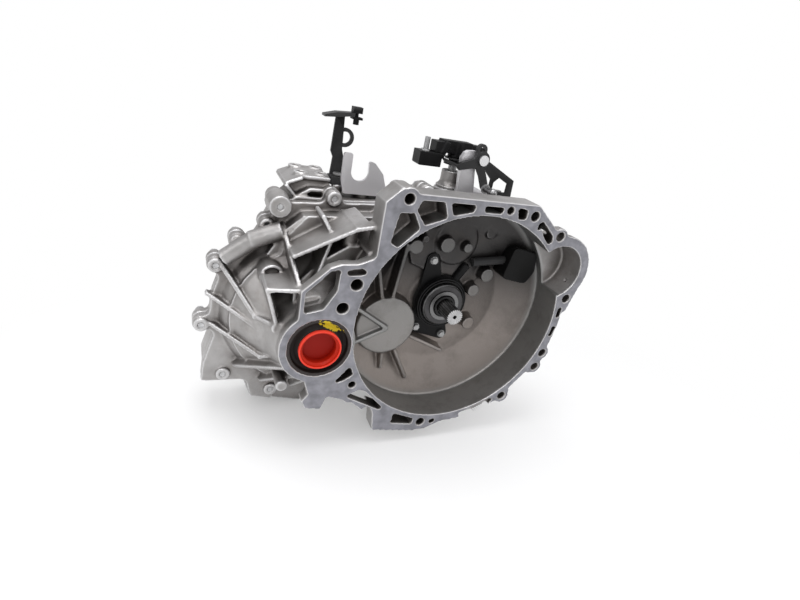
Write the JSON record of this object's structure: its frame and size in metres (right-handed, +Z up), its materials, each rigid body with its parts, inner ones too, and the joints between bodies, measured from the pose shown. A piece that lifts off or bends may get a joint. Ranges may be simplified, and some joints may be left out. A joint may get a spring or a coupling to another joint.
{
  "type": "manual transmission",
  "caption": "Transverse manual transaxle: ribbed cast case with open bell housing, clutch slave cylinder, shift levers, gear train and differential.",
  "frame": {"origin": "input-shaft axis where it meets the bell-housing face", "axes": "-Y out of the bell mouth towards the engine, +Y along the shafts, +X to the right seen from the mouth, +Z up"},
  "size_m": [0.5526, 0.376, 0.461],
  "materials": {
    "cast_aluminium": "bead-blasted as-cast skin with bright machined faces",
    "zinc_steel": "zinc plated",
    "gear_steel": "ground and oiled",
    "dark_steel": "phosphated",
    "bronze": "satin",
    "seal_rubber": "matte",
    "red_plastic": "semi-gloss",
    "black_plastic": "satin",
    "black_paint": "satin black coating",
    "bracket_steel": "plated sheet steel"
  },
  "bodies": {
    "case": {"clutch_housing": "cast_aluminium", "gear_case": "cast_aluminium", "rear_cover": "cast_aluminium", "case_bolts": "zinc_steel", "small_bolts": "zinc_steel", "idler_shaft": "dark_steel", "fork_rail": "gear_steel", "shaft_bearings": "gear_steel", "output_front_bearing": "gear_steel", "diff_bearings": "gear_steel", "diff_seals": "seal_rubber", "transport_cap": "red_plastic", "slave_cylinder": "black_plastic", "clutch_pipe": "black_plastic", "pipe_boot": "seal_rubber", "shift_tower": "cast_aluminium", "select_bracket": "bracket_steel", "select_pin": "zinc_steel", "guard_plate": "black_paint", "cable_bracket": "bracket_steel", "wiring_bracket": "black_paint", "wiring_clip": "black_plastic", "oil_plugs": "dark_steel"},
    "input": {"input_shaft": "gear_steel", "drive_gear_5": "gear_steel", "drive_gear_6": "gear_steel"},
    "output": {"output_shaft": "gear_steel", "synchro_hubs": "dark_steel", "synchro_rings": "bronze"},
    "gear_1": {"driven_gear_1": "gear_steel"},
    "gear_2": {"driven_gear_2": "gear_steel"},
    "gear_3": {"driven_gear_3": "gear_steel"},
    "gear_4": {"driven_gear_4": "gear_steel"},
    "gear_5": {"driven_gear_5": "gear_steel"},
    "gear_6": {"driven_gear_6": "gear_steel"},
    "reverse_gear": {"reverse_gear": "gear_steel"},
    "reverse_idler": {"reverse_idler": "gear_steel"},
    "sleeve_12": {"sleeve_12": "gear_steel"},
    "fork_12": {"fork_12": "bronze"},
    "sleeve_34": {"sleeve_34": "gear_steel"},
    "fork_34": {"fork_34": "bronze"},
    "sleeve_56": {"sleeve_56": "gear_steel"},
    "fork_56": {"fork_56": "bronze"},
    "sleeve_reverse": {"sleeve_reverse": "gear_steel"},
    "fork_reverse": {"fork_reverse": "bronze"},
    "differential": {"diff_case": "cast_aluminium", "ring_gear": "gear_steel", "cross_pin": "gear_steel"},
    "side_gear_front": {"side_gear_front": "gear_steel"},
    "side_gear_rear": {"side_gear_rear": "gear_steel"},
    "spider_gear_top": {"spider_gear_top": "gear_steel"},
    "spider_gear_bottom": {"spider_gear_bottom": "gear_steel"},
    "release": {"release_bearing": "dark_steel"},
    "select_slider": {"select_collar": "black_plastic"},
    "shift": {"shift_shaft": "dark_steel", "shift_lever": "black_paint", "lever_weight": "black_paint", "lever_stud": "zinc_steel"},
    "select": {"select_lever": "black_paint", "ball_stud": "zinc_steel"}
  },
  "joints": [
    {"name": "input_spin", "type": "hinge", "parent": "case", "child": "input", "pos_m": [0, 0, 0], "axis": [0, 1, 0], "continuous": true},
    {"name": "gear_1_spin", "type": "hinge", "parent": "case", "child": "gear_1", "pos_m": [-0.09003, 0, -0.03404], "axis": [0, 1, 0], "continuous": true},
    {"name": "gear_2_spin", "type": "hinge", "parent": "case", "child": "gear_2", "pos_m": [-0.09003, 0, -0.03404], "axis": [0, 1, 0], "continuous": true},
    {"name": "gear_3_spin", "type": "hinge", "parent": "case", "child": "gear_3", "pos_m": [-0.09003, 0, -0.03404], "axis": [0, 1, 0], "continuous": true},
    {"name": "gear_4_spin", "type": "hinge", "parent": "case", "child": "gear_4", "pos_m": [-0.09003, 0, -0.03404], "axis": [0, 1, 0], "continuous": true},
    {"name": "gear_5_spin", "type": "hinge", "parent": "case", "child": "gear_5", "pos_m": [-0.09003, 0, -0.03404], "axis": [0, 1, 0], "continuous": true},
    {"name": "gear_6_spin", "type": "hinge", "parent": "case", "child": "gear_6", "pos_m": [-0.09003, 0, -0.03404], "axis": [0, 1, 0], "continuous": true},
    {"name": "reverse_idler_spin", "type": "hinge", "parent": "case", "child": "reverse_idler", "pos_m": [-0.03124, 0, 0.0341], "axis": [0, 1, 0], "continuous": true},
    {"name": "reverse_gear_spin", "type": "hinge", "parent": "case", "child": "reverse_gear", "pos_m": [-0.09003, 0, -0.03404], "axis": [0, 1, 0], "continuous": true},
    {"name": "diff_spin", "type": "hinge", "parent": "case", "child": "differential", "pos_m": [-0.204, 0, -0.0315], "axis": [0, 1, 0], "continuous": true},
    {"name": "output_spin", "type": "hinge", "parent": "case", "child": "output", "pos_m": [-0.09003, 0, -0.03404], "axis": [0, 1, 0], "continuous": true},
    {"name": "side_gear_rear_spin", "type": "hinge", "parent": "differential", "child": "side_gear_rear", "pos_m": [-0.204, 0.076, -0.0315], "axis": [0, 1, 0], "continuous": true},
    {"name": "side_gear_front_spin", "type": "hinge", "parent": "differential", "child": "side_gear_front", "pos_m": [-0.204, 0.076, -0.0315], "axis": [0, 1, 0], "continuous": true},
    {"name": "spider_top_spin", "type": "hinge", "parent": "differential", "child": "spider_gear_top", "pos_m": [-0.204, 0.076, -0.0315], "axis": [0, 0, 1], "continuous": true},
    {"name": "spider_bottom_spin", "type": "hinge", "parent": "differential", "child": "spider_gear_bottom", "pos_m": [-0.204, 0.076, -0.0315], "axis": [0, 0, 1], "continuous": true},
    {"name": "sleeve_12_slide", "type": "slide", "parent": "output", "child": "sleeve_12", "axis": [0, 1, 0], "range_m": [-0.0055, 0.0055]},
    {"name": "fork_12_slide", "type": "slide", "parent": "case", "child": "fork_12", "axis": [0, 1, 0], "range_m": [-0.0055, 0.0055]},
    {"name": "sleeve_34_slide", "type": "slide", "parent": "output", "child": "sleeve_34", "axis": [0, 1, 0], "range_m": [-0.0055, 0.0055]},
    {"name": "fork_34_slide", "type": "slide", "parent": "case", "child": "fork_34", "axis": [0, 1, 0], "range_m": [-0.0055, 0.0055]},
    {"name": "sleeve_56_slide", "type": "slide", "parent": "output", "child": "sleeve_56", "axis": [0, 1, 0], "range_m": [-0.0055, 0.0055]},
    {"name": "fork_56_slide", "type": "slide", "parent": "case", "child": "fork_56", "axis": [0, 1, 0], "range_m": [-0.0055, 0.0055]},
    {"name": "sleeve_reverse_slide", "type": "slide", "parent": "output", "child": "sleeve_reverse", "axis": [0, 1, 0], "range_m": [0, 0.006]},
    {"name": "fork_reverse_slide", "type": "slide", "parent": "case", "child": "fork_reverse", "axis": [0, 1, 0], "range_m": [0, 0.006]},
    {"name": "release_slide", "type": "slide", "parent": "case", "child": "release", "axis": [0, -1, 0], "range_m": [0, 0.012]},
    {"name": "select_swing", "type": "hinge", "parent": "case", "child": "select", "pos_m": [0.028, 0.1, 0.216], "axis": [0, 1, 0], "range_deg": [-12, 12]},
    {"name": "select_lift", "type": "slide", "parent": "case", "child": "select_slider", "axis": [0, 0, 1], "range_m": [-0.0075, 0.0075]},
    {"name": "shift_turn", "type": "hinge", "parent": "select_slider", "child": "shift", "pos_m": [0.007, 0.142, 0.2], "axis": [0, 0, 1], "range_deg": [-12, 12]}
  ],
  "couplings": [
    {"joint": "gear_1_spin", "follows": "input_spin", "ratio": -0.28333},
    {"joint": "gear_2_spin", "follows": "input_spin", "ratio": -0.5098},
    {"joint": "gear_3_spin", "follows": "input_spin", "ratio": -0.75},
    {"joint": "gear_4_spin", "follows": "input_spin", "ratio": -1.0263},
    {"joint": "gear_5_spin", "follows": "input_spin", "ratio": -1.3333},
    {"joint": "gear_6_spin", "follows": "input_spin", "ratio": -1.6552},
    {"joint": "reverse_idler_spin", "follows": "input_spin", "ratio": -0.54167},
    {"joint": "reverse_gear_spin", "follows": "input_spin", "ratio": 0.27083},
    {"joint": "output_spin", "follows": "diff_spin", "ratio": -4.0667},
    {"joint": "side_gear_front_spin", "follows": "side_gear_rear_spin", "ratio": -1},
    {"joint": "spider_top_spin", "follows": "side_gear_rear_spin", "ratio": -1.6},
    {"joint": "spider_bottom_spin", "follows": "side_gear_rear_spin", "ratio": 1.6},
    {"joint": "fork_12_slide", "follows": "sleeve_12_slide", "ratio": 1},
    {"joint": "fork_34_slide", "follows": "sleeve_34_slide", "ratio": 1},
    {"joint": "fork_56_slide", "follows": "sleeve_56_slide", "ratio": 1},
    {"joint": "fork_reverse_slide", "follows": "sleeve_reverse_slide", "ratio": 1},
    {"joint": "select_lift", "follows": "select_swing", "m_per_rad": 0.035}
  ]
}
